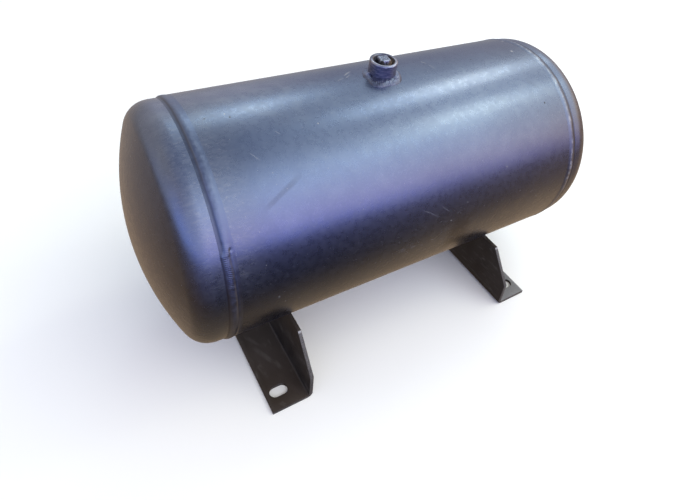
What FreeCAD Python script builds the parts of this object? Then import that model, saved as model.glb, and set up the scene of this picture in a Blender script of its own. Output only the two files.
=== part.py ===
"""A 40 litre compressed-air tank of welded steel that stands on two bent-plate brackets.

Millimetres. The tank's axis runs along X, Z is up, and the origin is in the middle of the
base, on the plane that the two feet stand on. Left is -X and right is +X.
"""

import FreeCAD
import Part

import math
import os
import re

import Sketcher

# Driving dimensions: name, value, what it is.
SIZES = [
    ("shell_diameter", 300, "outside diameter of the rolled shell"),
    ("shell_wall", 4, "plate thickness of the shell"),
    ("shell_length", 516, "distance between the centres of the two girth welds"),
    ("belly_height", 59.5, "height of the shell's underside above the feet's underside"),
    ("head_step", 1.5, "how far a head's flange lies inside the shell's outside"),
    ("head_wall", 4, "plate thickness of the heads"),
    ("crown_radius", 322, "outside radius of the heads' dished crown"),
    ("knuckle_radius", 31, "outside radius of the heads' knuckle"),
    ("flange_length", 11.5, "straight flange of a head, from the girth weld's centre"),
    ("weld_gap", 2, "root gap between the shell and a head"),
    ("weld_face", 8, "width of a girth weld across its face"),
    ("seam_angle", -12, "place of the shell's long seam, in degrees above the rear horizontal"),
    ("seam_gap", 2, "width of the slit that the long seam closes"),
    ("seam_face", 8, "width of the long seam's cap"),
    ("seam_rise", 1.2, "height of the long seam's cap"),
    ("thread_diameter", 26.4, "bore of a boss"),
    ("thread_entry", 0.9, "chamfer at the mouth of a boss's bore"),
    ("thread_clearance", 0.1, "gap between a plug and its boss"),
    ("boss_wall", 4.8, "wall of a boss around its bore"),
    ("boss_height", 21, "how far a boss stands out of the shell"),
    ("boss_reach", 3, "how far a boss passes the shell's inner face"),
    ("boss_chamfer", 1.5, "chamfer round a boss's outer rim"),
    ("boss_clearance", 0.25, "gap between a boss and its hole in the shell"),
    ("boss_weld_leg", 6, "leg of the fillet weld round a boss"),
    ("plug_head_width", 12.7, "width across the flats of a plug's square head"),
    ("plug_head_height", 10, "height of a plug's square head"),
    ("plug_head_chamfer", 1.2, "chamfer round the top of a plug's head"),
    ("plug_head_proud", 2.5, "how far a plug's head stands past its boss's rim"),
    ("plug_head_turn", -5, "turn of a plug's square head, in degrees"),
    ("plug_thread_length", 13, "length of a plug's threaded body"),
    ("plate_thickness", 5, "thickness of a bracket's plate"),
    ("web_inset", 90.5, "distance from a girth weld's centre in to a web's inner face"),
    ("foot_width", 56, "width of a foot, from its web's inner face"),
    ("bend_radius", 3.5, "inside radius of a bracket's bend"),
    ("bracket_overhang", 22.5, "how far a bracket's ends pass the shell's sides"),
    ("ear_rise", 34, "how far a web's top corners reach above the shell's underside"),
    ("ear_inset", 40.5, "distance of a web's top corners in from the bracket's ends"),
    ("shoulder_height", 44, "height at which a web's slanted ends begin"),
    ("bracket_weld_leg", 5, "leg of the fillet welds between a web and the shell"),
    ("bracket_weld_stop", 3, "angle at each end of a web's arc left without weld"),
    ("slot_offset", 37.5, "distance from a web's inner face to a slot's centre"),
    ("slot_inset", 25.5, "distance of a slot's centre in from the bracket's end"),
    ("slot_length", 25, "length of a slot from end to end"),
    ("slot_width", 16, "width of a slot"),
    ("cut_margin", 5, "how far cutting outlines run past the metal they cut"),
]

doc = FreeCAD.newDocument("air_tank")
sheet = doc.addObject("Spreadsheet::Sheet", "Sizes")
for row, (alias, value, meaning) in enumerate(SIZES, start=1):
    sheet.set(f"A{row}", meaning)
    sheet.set(f"B{row}", str(value))
    sheet.setAlias(f"B{row}", alias)
doc.recompute()

ALIASES = re.compile(r"\b(" + "|".join(alias for alias, _, _ in SIZES) + r")\b")

# Sizes that several pieces share, worked out from the sheet.
SHELL_R = "(shell_diameter / 2)"
SHELL_INNER_R = "(shell_diameter / 2 - shell_wall)"
AXIS_Z = "(belly_height + shell_diameter / 2)"
JOINT_X = "(shell_length / 2)"
HEAD_R = "(shell_diameter / 2 - head_step)"
THREAD_R = "(thread_diameter / 2)"
BOSS_R = "(thread_diameter / 2 + boss_wall)"
RIM_R = "(shell_diameter / 2 + boss_height)"
PLUG_SEAT_R = f"({RIM_R} + plug_head_proud - plug_head_height)"
WEB_X = "(shell_length / 2 - web_inset)"
EAR_Z = "(belly_height + ear_rise)"
BEND_OUTER_R = "(bend_radius + plate_thickness)"
BRACKET_HALF_Y = "(shell_diameter / 2 + bracket_overhang)"


def tie(formula):
    """The formula as an expression that reads the sheet."""
    return ALIASES.sub(r"Sizes.\1", str(formula))


def size(formula):
    """The formula's value now, in millimetres or degrees."""
    value = sheet.evalExpression(tie(formula))
    return float(getattr(value, "Value", value))


def signed(sign, formula):
    """The formula, negated where sign is -1."""
    return formula if sign > 0 else f"-({formula})"


def new_body(label, height=None):
    """An empty body; height is a formula for how far its own origin stands above the feet."""
    body = doc.addObject("PartDesign::Body", label)
    body.Label = label
    if height:
        body.setExpression("Placement.Base.z", tie(height))
    return body


def new_sketch(body, name, plane, turn=None, lift=None):
    """A sketch on one of the body's own planes, turned in that plane and lifted off it."""
    sketch = body.newObject("Sketcher::SketchObject", f"{body.Name}_{name}")
    support = next(o for o in body.Origin.OriginFeatures if o.Role == plane)
    sketch.AttachmentSupport = [(support, "")]
    sketch.MapMode = "FlatFace"
    if turn:
        up = FreeCAD.Vector(0, 0, 1)
        turned = FreeCAD.Rotation(up, size(turn))
        sketch.AttachmentOffset = FreeCAD.Placement(FreeCAD.Vector(), turned)
        sketch.setExpression("AttachmentOffset.Rotation.Angle", tie(turn))
    if lift:
        sketch.setExpression("AttachmentOffset.Base.z", tie(lift))
    return sketch


def constrain(sketch, kind, formula, *where):
    """One dimension of a sketch, tied to the formula."""
    index = sketch.addConstraint(Sketcher.Constraint(kind, *where, size(formula)))
    if ALIASES.search(formula):
        sketch.setExpression(f"Constraints[{index}]", tie(formula))


def place(sketch, geometry, position, across, up):
    """Ties a point of the sketch to two formulas."""
    constrain(sketch, "DistanceX", across, geometry, position)
    constrain(sketch, "DistanceY", up, geometry, position)


def add_edge(sketch, start, end, arc):
    """A line, or an arc given as (radius formula, side), with its centre left (1) or right
    (-1) of the way from start to end. Returns the edge and its start and end positions."""
    if arc is None:
        return sketch.addGeometry(Part.LineSegment(start, end), False), 1, 2
    radius, side = size(arc[0]), arc[1]
    chord = end - start
    rise = math.sqrt(max(radius**2 - (chord.Length / 2) ** 2, 0))
    left = FreeCAD.Vector(-chord.y, chord.x, 0).normalize()
    centre = (start + end) * 0.5 + left * (rise * side)
    first, last = (start, end) if side > 0 else (end, start)
    circle = Part.Circle(centre, FreeCAD.Vector(0, 0, 1), radius)
    angles = [math.atan2(p.y - centre.y, p.x - centre.x) for p in (first, last)]
    if angles[1] < angles[0]:
        angles[1] += 2 * math.pi
    edge = sketch.addGeometry(Part.ArcOfCircle(circle, *angles), False)
    return (edge, 1, 2) if side > 0 else (edge, 2, 1)


def draw_outline(sketch, corners, arcs=None):
    """A closed outline through corners, each a pair of formulas. arcs gives the edges that
    are round, by the index of their first corner."""
    arcs = arcs or {}
    points = [FreeCAD.Vector(size(across), size(up), 0) for across, up in corners]
    edges = []
    for i, start in enumerate(points):
        edges.append(add_edge(sketch, start, points[(i + 1) % len(points)], arcs.get(i)))
    for i, (edge, first, last) in enumerate(edges):
        following, its_first, _ = edges[(i + 1) % len(edges)]
        joined = Sketcher.Constraint("Coincident", edge, last, following, its_first)
        sketch.addConstraint(joined)
        place(sketch, edge, first, *corners[i])
        if i in arcs:
            constrain(sketch, "Radius", arcs[i][0], edge)


def draw_circle(sketch, radius):
    """A circle about the sketch's origin."""
    circle = Part.Circle(FreeCAD.Vector(), FreeCAD.Vector(0, 0, 1), size(radius))
    index = sketch.addGeometry(circle, False)
    sketch.addConstraint(Sketcher.Constraint("Coincident", index, 3, -1, 1))
    constrain(sketch, "Radius", radius, index)


def draw_slot(sketch, across, up, length, width):
    """A slot that runs along the sketch's first axis, centred on (across, up)."""
    radius = size(width) / 2
    reach = (size(length) - size(width)) / 2
    normal = FreeCAD.Vector(0, 0, 1)
    quarter = math.pi / 2
    ends = []
    for sign in (-1, 1):
        centre = FreeCAD.Vector(size(across) + sign * reach, size(up), 0)
        angles = (quarter, 3 * quarter) if sign < 0 else (-quarter, quarter)
        arc = Part.ArcOfCircle(Part.Circle(centre, normal, radius), *angles)
        ends.append(sketch.addGeometry(arc, False))
        offset = signed(sign, f"(({length}) - ({width})) / 2")
        place(sketch, ends[-1], 3, f"{across} + {offset}", up)
    left, right = ends
    for near, far, rise in ((2, 1, -radius), (1, 2, radius)):
        side = FreeCAD.Vector(size(across), size(up) + rise, 0)
        run = FreeCAD.Vector(reach, 0, 0)
        line = sketch.addGeometry(Part.LineSegment(side - run, side + run), False)
        sketch.addConstraint(Sketcher.Constraint("Tangent", left, near, line, 1))
        sketch.addConstraint(Sketcher.Constraint("Tangent", right, far, line, 2))
    constrain(sketch, "Radius", f"({width}) / 2", left)


def pad(body, sketch, length):
    """Extrudes a sketch by length to both sides of its plane."""
    feature = body.newObject("PartDesign::Pad", f"{sketch.Name}_pad")
    feature.Profile = sketch
    feature.SideType = "Symmetric"
    feature.setExpression("Length", tie(length))


def pad_out(body, sketch, length, backwards):
    """Extrudes a sketch by length to one side of its plane, and returns the feature."""
    feature = body.newObject("PartDesign::Pad", f"{sketch.Name}_pad")
    feature.Profile = sketch
    feature.Reversed = backwards
    feature.setExpression("Length", tie(length))
    return feature


def cut(body, sketch, length, both_sides=True, backwards=False):
    """Cuts a sketch's outline through the body, and stops the script if nothing came off."""
    doc.recompute()
    before = body.Shape.Volume
    feature = body.newObject("PartDesign::Pocket", f"{sketch.Name}_cut")
    feature.Profile = sketch
    feature.setExpression("Length", tie(length))
    feature.Reversed = backwards
    if both_sides:
        feature.SideType = "Symmetric"
    doc.recompute()
    if not body.Shape.Volume < before:
        raise RuntimeError(f"{feature.Name} cuts nothing from {body.Label}")


def revolve(body, sketch, axis, angle="360"):
    """Turns a sketch about its own H_Axis or V_Axis, evenly to both sides of its plane."""
    feature = body.newObject("PartDesign::Revolution", f"{sketch.Name}_turned")
    feature.Profile = sketch
    feature.ReferenceAxis = (sketch, [axis])
    feature.Midplane = angle != "360"
    feature.Angle = size(angle)
    if ALIASES.search(angle):
        feature.setExpression("Angle", tie(angle))


def make_shell():
    """The rolled plate: a tube with bevelled ends, a slit for its long seam and two holes."""
    body = new_body("shell", AXIS_Z)
    bevel_outer = f"{JOINT_X} - weld_face / 2"
    bevel_inner = f"{JOINT_X} - weld_gap / 2"
    wall = new_sketch(body, "wall", "XZ_Plane")
    draw_outline(wall, [
        (f"-({bevel_inner})", SHELL_INNER_R),
        (bevel_inner, SHELL_INNER_R),
        (bevel_outer, SHELL_R),
        (f"-({bevel_outer})", SHELL_R),
    ])
    revolve(body, wall, "H_Axis")
    slit = new_sketch(body, "slit", "YZ_Plane", turn="seam_angle")
    inside = f"{SHELL_INNER_R} - cut_margin"
    outside = f"{SHELL_R} + cut_margin"
    draw_outline(slit, [
        (inside, "-seam_gap / 2"),
        (outside, "-seam_gap / 2"),
        (outside, "seam_gap / 2"),
        (inside, "seam_gap / 2"),
    ])
    cut(body, slit, "shell_length + cut_margin")
    for name, upwards in (("port_hole", True), ("drain_hole", False)):
        hole = new_sketch(body, name, "XY_Plane")
        draw_circle(hole, f"{BOSS_R} + boss_clearance")
        cut(body, hole, f"{SHELL_R} + cut_margin", both_sides=False, backwards=upwards)


def make_shell_seam_weld():
    """The long weld that closes the shell: it fills the slit and stands proud as a cap."""
    body = new_body("shell_seam_weld", AXIS_Z)
    section = new_sketch(body, "section", "YZ_Plane", turn="seam_angle")

    def on_circle(radius, half_width, sign):
        return f"sqrt({radius}^2 - ({half_width})^2)", signed(sign, half_width)

    cap_radius = "((seam_face / 2)^2 + seam_rise^2) / (2 * seam_rise)"
    draw_outline(
        section,
        [
            on_circle(SHELL_INNER_R, "seam_gap / 2", -1),
            on_circle(SHELL_R, "seam_gap / 2", -1),
            on_circle(SHELL_R, "seam_face / 2", -1),
            on_circle(SHELL_R, "seam_face / 2", 1),
            on_circle(SHELL_R, "seam_gap / 2", 1),
            on_circle(SHELL_INNER_R, "seam_gap / 2", 1),
        ],
        {1: (SHELL_R, -1), 2: (cap_radius, 1), 3: (SHELL_R, -1), 5: (SHELL_INNER_R, -1)},
    )
    pad(body, section, "shell_length - weld_face")


def make_head(label, sign):
    """A dished and flanged head: straight flange, knuckle and crown, turned about the axis."""
    body = new_body(label, AXIS_Z)
    knuckle_x = f"({JOINT_X} + flange_length)"
    knuckle_y = f"({HEAD_R} - knuckle_radius)"
    centres_apart = "(crown_radius - knuckle_radius)"
    back = f"sqrt({centres_apart}^2 - {knuckle_y}^2)"
    crown_x = f"({knuckle_x} - {back})"

    def tangent_point(radius):
        along = f"{crown_x} + ({radius}) * {back} / {centres_apart}"
        return signed(sign, along), f"({radius}) * {knuckle_y} / {centres_apart}"

    profile = new_sketch(body, "profile", "XZ_Plane")
    inner_r = f"{HEAD_R} - head_wall"
    inner_crown = "crown_radius - head_wall"
    inner_knuckle = "knuckle_radius - head_wall"
    draw_outline(
        profile,
        [
            (signed(sign, f"{JOINT_X} + weld_face / 2"), HEAD_R),
            (signed(sign, knuckle_x), HEAD_R),
            tangent_point("crown_radius"),
            (signed(sign, f"{crown_x} + crown_radius"), "0"),
            (signed(sign, f"{crown_x} + {inner_crown}"), "0"),
            tangent_point(inner_crown),
            (signed(sign, knuckle_x), inner_r),
            (signed(sign, f"{JOINT_X} + weld_gap / 2"), inner_r),
        ],
        {
            1: ("knuckle_radius", -sign),
            2: ("crown_radius", -sign),
            4: (inner_crown, sign),
            5: (inner_knuckle, sign),
        },
    )
    revolve(body, profile, "H_Axis")


def make_girth_weld(label, sign):
    """The ring of weld metal in the V between the shell and a head."""
    body = new_body(label, AXIS_Z)
    section = new_sketch(body, "section", "XZ_Plane")
    draw_outline(section, [
        (signed(sign, f"{JOINT_X} - weld_gap / 2"), SHELL_INNER_R),
        (signed(sign, f"{JOINT_X} - weld_face / 2"), SHELL_R),
        (signed(sign, f"{JOINT_X} + weld_face / 2"), HEAD_R),
        (signed(sign, f"{JOINT_X} + weld_gap / 2"), f"{HEAD_R} - head_wall"),
    ])
    revolve(body, section, "H_Axis")


def make_boss(label, sign):
    """A threaded boss through the shell, above (1) or below (-1) the tank's axis."""
    body = new_body(label, AXIS_Z)
    profile = new_sketch(body, "profile", "XZ_Plane")
    root = signed(sign, f"{SHELL_INNER_R} - boss_reach")
    draw_outline(profile, [
        (THREAD_R, root),
        (BOSS_R, root),
        (BOSS_R, signed(sign, f"{RIM_R} - boss_chamfer")),
        (f"{BOSS_R} - boss_chamfer", signed(sign, RIM_R)),
        (f"{THREAD_R} + thread_entry", signed(sign, RIM_R)),
        (THREAD_R, signed(sign, f"{RIM_R} - thread_entry")),
    ])
    revolve(body, profile, "V_Axis")


def make_boss_weld(label, sign):
    """The fillet weld round a boss, its underside cut to the shell's round."""
    body = new_body(label, AXIS_Z)
    section = new_sketch(body, "section", "XZ_Plane")
    low = signed(sign, f"{SHELL_R} - cut_margin")
    draw_outline(section, [
        (BOSS_R, low),
        (f"{BOSS_R} + boss_weld_leg + cut_margin", low),
        (BOSS_R, signed(sign, f"{SHELL_R} + boss_weld_leg")),
    ])
    revolve(body, section, "V_Axis")
    shell_round = new_sketch(body, "shell_round", "YZ_Plane")
    draw_circle(shell_round, SHELL_R)
    cut(body, shell_round, "shell_length")


def make_plug(label, sign):
    """A square-headed pipe plug, screwed into a boss."""
    body = new_body(label, AXIS_Z)
    thread = new_sketch(body, "thread", "XZ_Plane")
    plug_r = f"{THREAD_R} - thread_clearance"
    end = signed(sign, f"{PLUG_SEAT_R} - plug_thread_length")
    draw_outline(thread, [
        ("0", end),
        (f"{plug_r} - thread_entry", end),
        (plug_r, signed(sign, f"{PLUG_SEAT_R} - plug_thread_length + thread_entry")),
        (plug_r, signed(sign, f"{PLUG_SEAT_R} - thread_entry")),
        (f"{plug_r} - thread_entry", signed(sign, PLUG_SEAT_R)),
        ("0", signed(sign, PLUG_SEAT_R)),
    ])
    revolve(body, thread, "V_Axis")
    square = new_sketch(
        body, "square", "XY_Plane", turn="plug_head_turn", lift=signed(sign, PLUG_SEAT_R)
    )
    high = "plug_head_width / 2"
    low = f"-{high}"
    draw_outline(square, [(low, low), (high, low), (high, high), (low, high)])
    head = pad_out(body, square, "plug_head_height", backwards=sign < 0)
    doc.recompute()
    top = max(
        range(len(head.Shape.Faces)),
        key=lambda i: sign * head.Shape.Faces[i].CenterOfMass.z,
    )
    chamfer = body.newObject("PartDesign::Chamfer", f"{body.Name}_chamfer")
    chamfer.Base = (head, [f"Face{top + 1}"])
    chamfer.setExpression("Size", tie("plug_head_chamfer"))


def make_bracket(label, sign):
    """A plate bent to an L: the web carries the tank in a round cut, and the foot, turned
    towards the tank's end, has a slot at each end."""
    body = new_body(label)
    section = new_sketch(body, "section", "XZ_Plane")
    inner_face = signed(sign, WEB_X)
    outer_face = signed(sign, f"{WEB_X} + plate_thickness")
    bend_end = signed(sign, f"{WEB_X} + {BEND_OUTER_R}")
    foot_end = signed(sign, f"{WEB_X} + foot_width")
    draw_outline(
        section,
        [
            (inner_face, EAR_Z),
            (inner_face, BEND_OUTER_R),
            (bend_end, "0"),
            (foot_end, "0"),
            (foot_end, "plate_thickness"),
            (bend_end, "plate_thickness"),
            (outer_face, BEND_OUTER_R),
            (outer_face, EAR_Z),
        ],
        {1: (BEND_OUTER_R, sign), 5: ("bend_radius", -sign)},
    )
    pad(body, section, f"2 * {BRACKET_HALF_Y}")

    through_web = f"2 * ({WEB_X} + foot_width + cut_margin)"
    saddle = new_sketch(body, "saddle", "YZ_Plane")
    saddle.setExpression("AttachmentOffset.Base.y", tie(AXIS_Z))
    draw_circle(saddle, SHELL_R)
    cut(body, saddle, through_web)

    ends = new_sketch(body, "slanted_ends", "YZ_Plane")
    for side in (-1, 1):
        ear_y = signed(side, f"{BRACKET_HALF_Y} - ear_inset")
        past_end_y = signed(side, f"{BRACKET_HALF_Y} + cut_margin")
        draw_outline(ends, [
            (ear_y, EAR_Z),
            (signed(side, BRACKET_HALF_Y), "shoulder_height"),
            (past_end_y, "shoulder_height"),
            (past_end_y, f"{EAR_Z} + cut_margin"),
            (ear_y, f"{EAR_Z} + cut_margin"),
        ])
    cut(body, ends, through_web)

    slots = new_sketch(body, "slots", "XY_Plane")
    slot_x = signed(sign, f"{WEB_X} + slot_offset")
    for side in (-1, 1):
        slot_y = signed(side, f"{BRACKET_HALF_Y} - slot_inset")
        draw_slot(slots, slot_x, slot_y, "slot_length", "slot_width")
    cut(body, slots, "2 * (plate_thickness + cut_margin)")


def make_bracket_weld(label, face_x, sign):
    """A fillet weld along a web's round cut, on the web's face at face_x."""
    body = new_body(label, AXIS_Z)
    section = new_sketch(body, "section", "XZ_Plane")
    draw_outline(section, [
        (face_x, f"-{SHELL_R}"),
        (f"{face_x} + {signed(sign, 'bracket_weld_leg')}", f"-{SHELL_R}"),
        (face_x, f"-({SHELL_R} + bracket_weld_leg)"),
    ])
    half_arc = f"acos(({SHELL_R} - ear_rise) / {SHELL_R})"
    revolve(body, section, "H_Axis", f"2 * ({half_arc} - bracket_weld_stop * 1 deg)")


def check_document():
    """Stops the script if a feature failed or a body is not one valid solid."""
    for thing in doc.Objects:
        if "Invalid" in thing.State or "Error" in thing.State:
            raise RuntimeError(f"{thing.Name} failed: {thing.State}")
    for body in bodies():
        shape = body.Shape
        if shape.isNull() or not shape.isValid() or len(shape.Solids) != 1:
            raise RuntimeError(f"{body.Label} is not one valid solid")


def bodies():
    """Every sub-part of the document."""
    return [o for o in doc.Objects if o.TypeId == "PartDesign::Body"]


def export_parts(folder="parts"):
    """Writes each sub-part's shape to its own STEP file."""
    os.makedirs(folder, exist_ok=True)
    for body in bodies():
        body.Shape.exportStep(os.path.join(folder, f"{body.Label}.step"))


make_shell()
make_shell_seam_weld()
for side_name, side_sign in (("left", -1), ("right", 1)):
    make_head(f"{side_name}_head", side_sign)
    make_girth_weld(f"{side_name}_girth_weld", side_sign)
    make_bracket(f"{side_name}_bracket", side_sign)
    web_inner_face = signed(side_sign, WEB_X)
    web_outer_face = signed(side_sign, f"{WEB_X} + plate_thickness")
    make_bracket_weld(f"{side_name}_bracket_inner_weld", web_inner_face, -side_sign)
    make_bracket_weld(f"{side_name}_bracket_outer_weld", web_outer_face, side_sign)
for use, way in (("port", 1), ("drain", -1)):
    make_boss(f"{use}_boss", way)
    make_boss_weld(f"{use}_boss_weld", way)
    make_plug(f"{use}_plug", way)

doc.recompute()
check_document()
export_parts()
for part in bodies():
    box = part.Shape.BoundBox
    print(f"{part.Label}: {part.Shape.Volume / 1000:.1f} cm3, z {box.ZMin:.1f} to {box.ZMax:.1f}")
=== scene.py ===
"""The looks of a 40 litre welded steel air tank, built around its CAD model.

Metres, in the CAD frame: the tank's axis runs along X, Z is up and the feet stand on z = 0.
An angle round the tank is 0 at the front (-Y), 90 degrees at the top and -90 at the bottom.
"""

import math

import bmesh
import bpy
from mathutils import Matrix, Vector, noise


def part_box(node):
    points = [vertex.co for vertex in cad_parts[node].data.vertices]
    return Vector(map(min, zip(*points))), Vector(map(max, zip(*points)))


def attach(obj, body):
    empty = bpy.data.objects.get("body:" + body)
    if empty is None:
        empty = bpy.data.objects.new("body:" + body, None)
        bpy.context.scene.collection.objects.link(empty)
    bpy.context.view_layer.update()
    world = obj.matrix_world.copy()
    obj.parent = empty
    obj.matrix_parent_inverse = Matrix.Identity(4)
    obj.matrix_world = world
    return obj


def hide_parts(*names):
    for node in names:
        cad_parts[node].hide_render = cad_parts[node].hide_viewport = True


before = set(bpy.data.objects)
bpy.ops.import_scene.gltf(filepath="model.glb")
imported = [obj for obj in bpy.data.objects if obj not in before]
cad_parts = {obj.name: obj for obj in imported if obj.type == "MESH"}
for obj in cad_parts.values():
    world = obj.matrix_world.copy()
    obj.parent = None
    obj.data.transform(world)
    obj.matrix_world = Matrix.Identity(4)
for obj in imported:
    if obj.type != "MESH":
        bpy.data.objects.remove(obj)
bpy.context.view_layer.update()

MM = 0.001
TURN = 2 * math.pi

# The tank's own measures, read from the CAD model.
WELD_LOW, WELD_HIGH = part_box("right_girth_weld")
SHELL_R = (WELD_HIGH.z - WELD_LOW.z) / 2
AXIS_Z = (WELD_HIGH.z + WELD_LOW.z) / 2
JOINT_X = (WELD_LOW.x + WELD_HIGH.x) / 2
HEAD_R = (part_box("right_head")[1].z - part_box("right_head")[0].z) / 2
CENTRE = Vector((0, 0, AXIS_Z))


# ---------------------------------------------------------------- meshes


def on_tank(x, radius, angle):
    """The point at x along the tank, at a radius and an angle round it."""
    return (x, -radius * math.cos(angle), AXIS_Z + radius * math.sin(angle))


def rough(x, y, z, scale, seed=0.0):
    """Smooth noise of about -1 to 1 at a point, with lumps of the given size."""
    return noise.noise(Vector((x / scale + seed, y / scale - seed, z / scale + 2 * seed)))


def smooth_step(value, start, end):
    """0 before start, 1 after end and a smooth rise between."""
    share = min(max((value - start) / (end - start), 0), 1)
    return share * share * (3 - 2 * share)


def bump_at(value, centre, width):
    """A smooth bump of height 1 at the centre that fades out about a width away."""
    return math.exp(-(((value - centre) / width) ** 2))


def loft(rings, closed):
    """Vertices and faces that join rings of points. closed joins the last ring to the first;
    otherwise both end rings are filled."""
    count = len(rings[0])
    vertices = [point for ring in rings for point in ring]
    faces = []
    for i in range(len(rings) if closed else len(rings) - 1):
        here, there = i * count, (i + 1) % len(rings) * count
        for j in range(count):
            k = (j + 1) % count
            faces.append((here + j, here + k, there + k, there + j))
    if not closed:
        faces.append(tuple(range(count)))
        faces.append(tuple(range(len(vertices) - count, len(vertices))))
    return vertices, faces


def make_piece(name, rings, closed, slot, replaced, sharp):
    """A piece lofted through rings of points."""
    vertices, faces = loft(rings, closed)
    mesh = bpy.data.meshes.new(name)
    mesh.from_pydata(vertices, [], faces)
    finish_piece(name, mesh, slot, replaced, sharp)


def finish_piece(name, mesh, slot, replaced, sharp):
    """Makes a mesh a piece that rides on the tank's one body and replaces a CAD node.

    Its faces are turned outwards, and edges sharper than an angle in degrees stay sharp.
    """
    work = bmesh.new()
    work.from_mesh(mesh)
    bmesh.ops.recalc_face_normals(work, faces=work.faces)
    work.to_mesh(mesh)
    work.free()
    mesh.shade_smooth()
    mesh.set_sharp_from_angle(angle=math.radians(sharp))
    mesh.materials.clear()
    mesh.materials.append(MATERIALS[slot])
    piece = bpy.data.objects.new(name, mesh)
    bpy.context.scene.collection.objects.link(piece)
    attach(piece, "root")
    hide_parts(replaced)


# ---------------------------------------------------------------- materials

# How much of a dot's radius, or of a mark's width, is covered fully. The rest fades out.
DOT_CORE = 0.4
MARK_CORE = 0.3
# The share of a mark's length over which each of its ends fades out.
MARK_FADE = 0.35


class Finish:
    """A material's nodes, made with short calls."""

    def __init__(self, name):
        self.material = bpy.data.materials.new(name)
        self.material.use_nodes = True
        self.tree = self.material.node_tree
        self.shader = self.tree.nodes["Principled BSDF"]
        self.place = self.tree.nodes.new("ShaderNodeTexCoord").outputs["Object"]

    def link(self, value, socket):
        """Joins an output to an input, or writes a plain value or colour into it."""
        if isinstance(value, bpy.types.NodeSocket):
            self.tree.links.new(value, socket)
        elif socket.type == "RGBA":
            socket.default_value = (*value, 1)
        else:
            socket.default_value = value

    def math(self, operation, *values):
        """One Math node."""
        node = self.tree.nodes.new("ShaderNodeMath")
        node.operation = operation
        for socket, value in zip(node.inputs, values):
            self.link(value, socket)
        return node.outputs[0]

    def plus(self, first, second):
        """The sum of two numbers."""
        return self.math("ADD", first, second)

    def minus(self, first, second):
        """The first number less the second."""
        return self.math("SUBTRACT", first, second)

    def times(self, first, *others):
        """The product of some numbers."""
        for other in others:
            first = self.math("MULTIPLY", first, other)
        return first

    def largest(self, first, *others):
        """The largest of some numbers."""
        for other in others:
            first = self.math("MAXIMUM", first, other)
        return first

    def unsigned(self, value):
        """A number without its sign."""
        return self.math("ABSOLUTE", value)

    def distance(self, first, second):
        """How far a place lies from 0, from its two coordinates."""
        return self.math("SQRT", self.plus(self.times(first, first), self.times(second, second)))

    def axes(self, vector):
        """A vector's three numbers."""
        node = self.tree.nodes.new("ShaderNodeSeparateXYZ")
        self.link(vector, node.inputs[0])
        return node.outputs

    def scaled(self, vector, factors):
        """A vector with each of its numbers multiplied by a factor."""
        node = self.tree.nodes.new("ShaderNodeVectorMath")
        node.operation = "MULTIPLY"
        self.link(vector, node.inputs[0])
        node.inputs[1].default_value = factors
        return node.outputs[0]

    def noise(self, size, detail=2.0, roughness=0.5, place=None, stretch=(1, 1, 1), distortion=0.0):
        """Noise from 0 to 1 with lumps of about the given size in metres."""
        node = self.tree.nodes.new("ShaderNodeTexNoise")
        where = self.scaled(self.place if place is None else place, stretch)
        self.link(where, node.inputs["Vector"])
        node.inputs["Scale"].default_value = 1 / size
        node.inputs["Detail"].default_value = detail
        node.inputs["Roughness"].default_value = roughness
        node.inputs["Distortion"].default_value = distortion
        return node.outputs["Fac"]

    def specks(self, spacing, radius, share):
        """1 inside small dots, which only a share of the cells between them hold."""
        node = self.tree.nodes.new("ShaderNodeTexVoronoi")
        self.link(self.place, node.inputs["Vector"])
        node.inputs["Scale"].default_value = 1 / spacing
        inside = self.ramp(node.outputs["Distance"], radius / spacing, radius / spacing * DOT_CORE)
        chosen = self.math("LESS_THAN", self.axes(node.outputs["Color"])[0], share)
        return self.times(inside, chosen)

    def ramp(self, value, start, end, low=0.0, high=1.0):
        """The value carried smoothly from start..end to low..high."""
        node = self.tree.nodes.new("ShaderNodeMapRange")
        node.interpolation_type = "SMOOTHSTEP"
        limits = {"From Min": start, "From Max": end, "To Min": low, "To Max": high}
        for key, number in limits.items():
            node.inputs[key].default_value = number
        self.link(value, node.inputs["Value"])
        return node.outputs["Result"]

    def mixer(self, data_type, socket_type, share, first, second):
        """A Mix node's output for one type of value."""
        node = self.tree.nodes.new("ShaderNodeMix")
        node.data_type = data_type
        self.link(share, node.inputs["Factor"])
        for key, value in (("A", first), ("B", second)):
            self.link(value, next(s for s in node.inputs if s.name == key and s.type == socket_type))
        return next(s for s in node.outputs if s.type == socket_type)

    def mix(self, share, first, second):
        """Two colours mixed: share 0 gives the first and 1 the second."""
        return self.mixer("RGBA", "RGBA", share, first, second)

    def blend(self, share, first, second):
        """Two numbers mixed: share 0 gives the first and 1 the second."""
        return self.mixer("FLOAT", "VALUE", share, first, second)

    def bump(self, height, distance, under=None):
        """A bumped normal: height 0 to 1 stands for 0 to distance in metres."""
        node = self.tree.nodes.new("ShaderNodeBump")
        node.inputs["Strength"].default_value = 1.0
        node.inputs["Distance"].default_value = distance
        self.link(height, node.inputs["Height"])
        if under is not None:
            self.link(under, node.inputs["Normal"])
        return node.outputs["Normal"]

    def unrolled(self):
        """The place on the tank laid flat: x along it, the arc length round it, 0 at the front."""
        x, y, z = self.axes(self.place)
        angle = self.math("ARCTAN2", self.minus(z, AXIS_Z), self.times(y, -1.0))
        flat = self.tree.nodes.new("ShaderNodeCombineXYZ")
        self.link(x, flat.inputs["X"])
        self.link(self.times(angle, SHELL_R), flat.inputs["Y"])
        return flat.outputs[0]

    def spot(self, flat, place, radius):
        """1 in a small round spot on a flat surface, in metres."""
        away = self.tree.nodes.new("ShaderNodeVectorMath")
        away.operation = "DISTANCE"
        self.link(flat, away.inputs[0])
        away.inputs[1].default_value = (*place, 0)
        return self.ramp(away.outputs["Value"], radius, radius * DOT_CORE)

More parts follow.
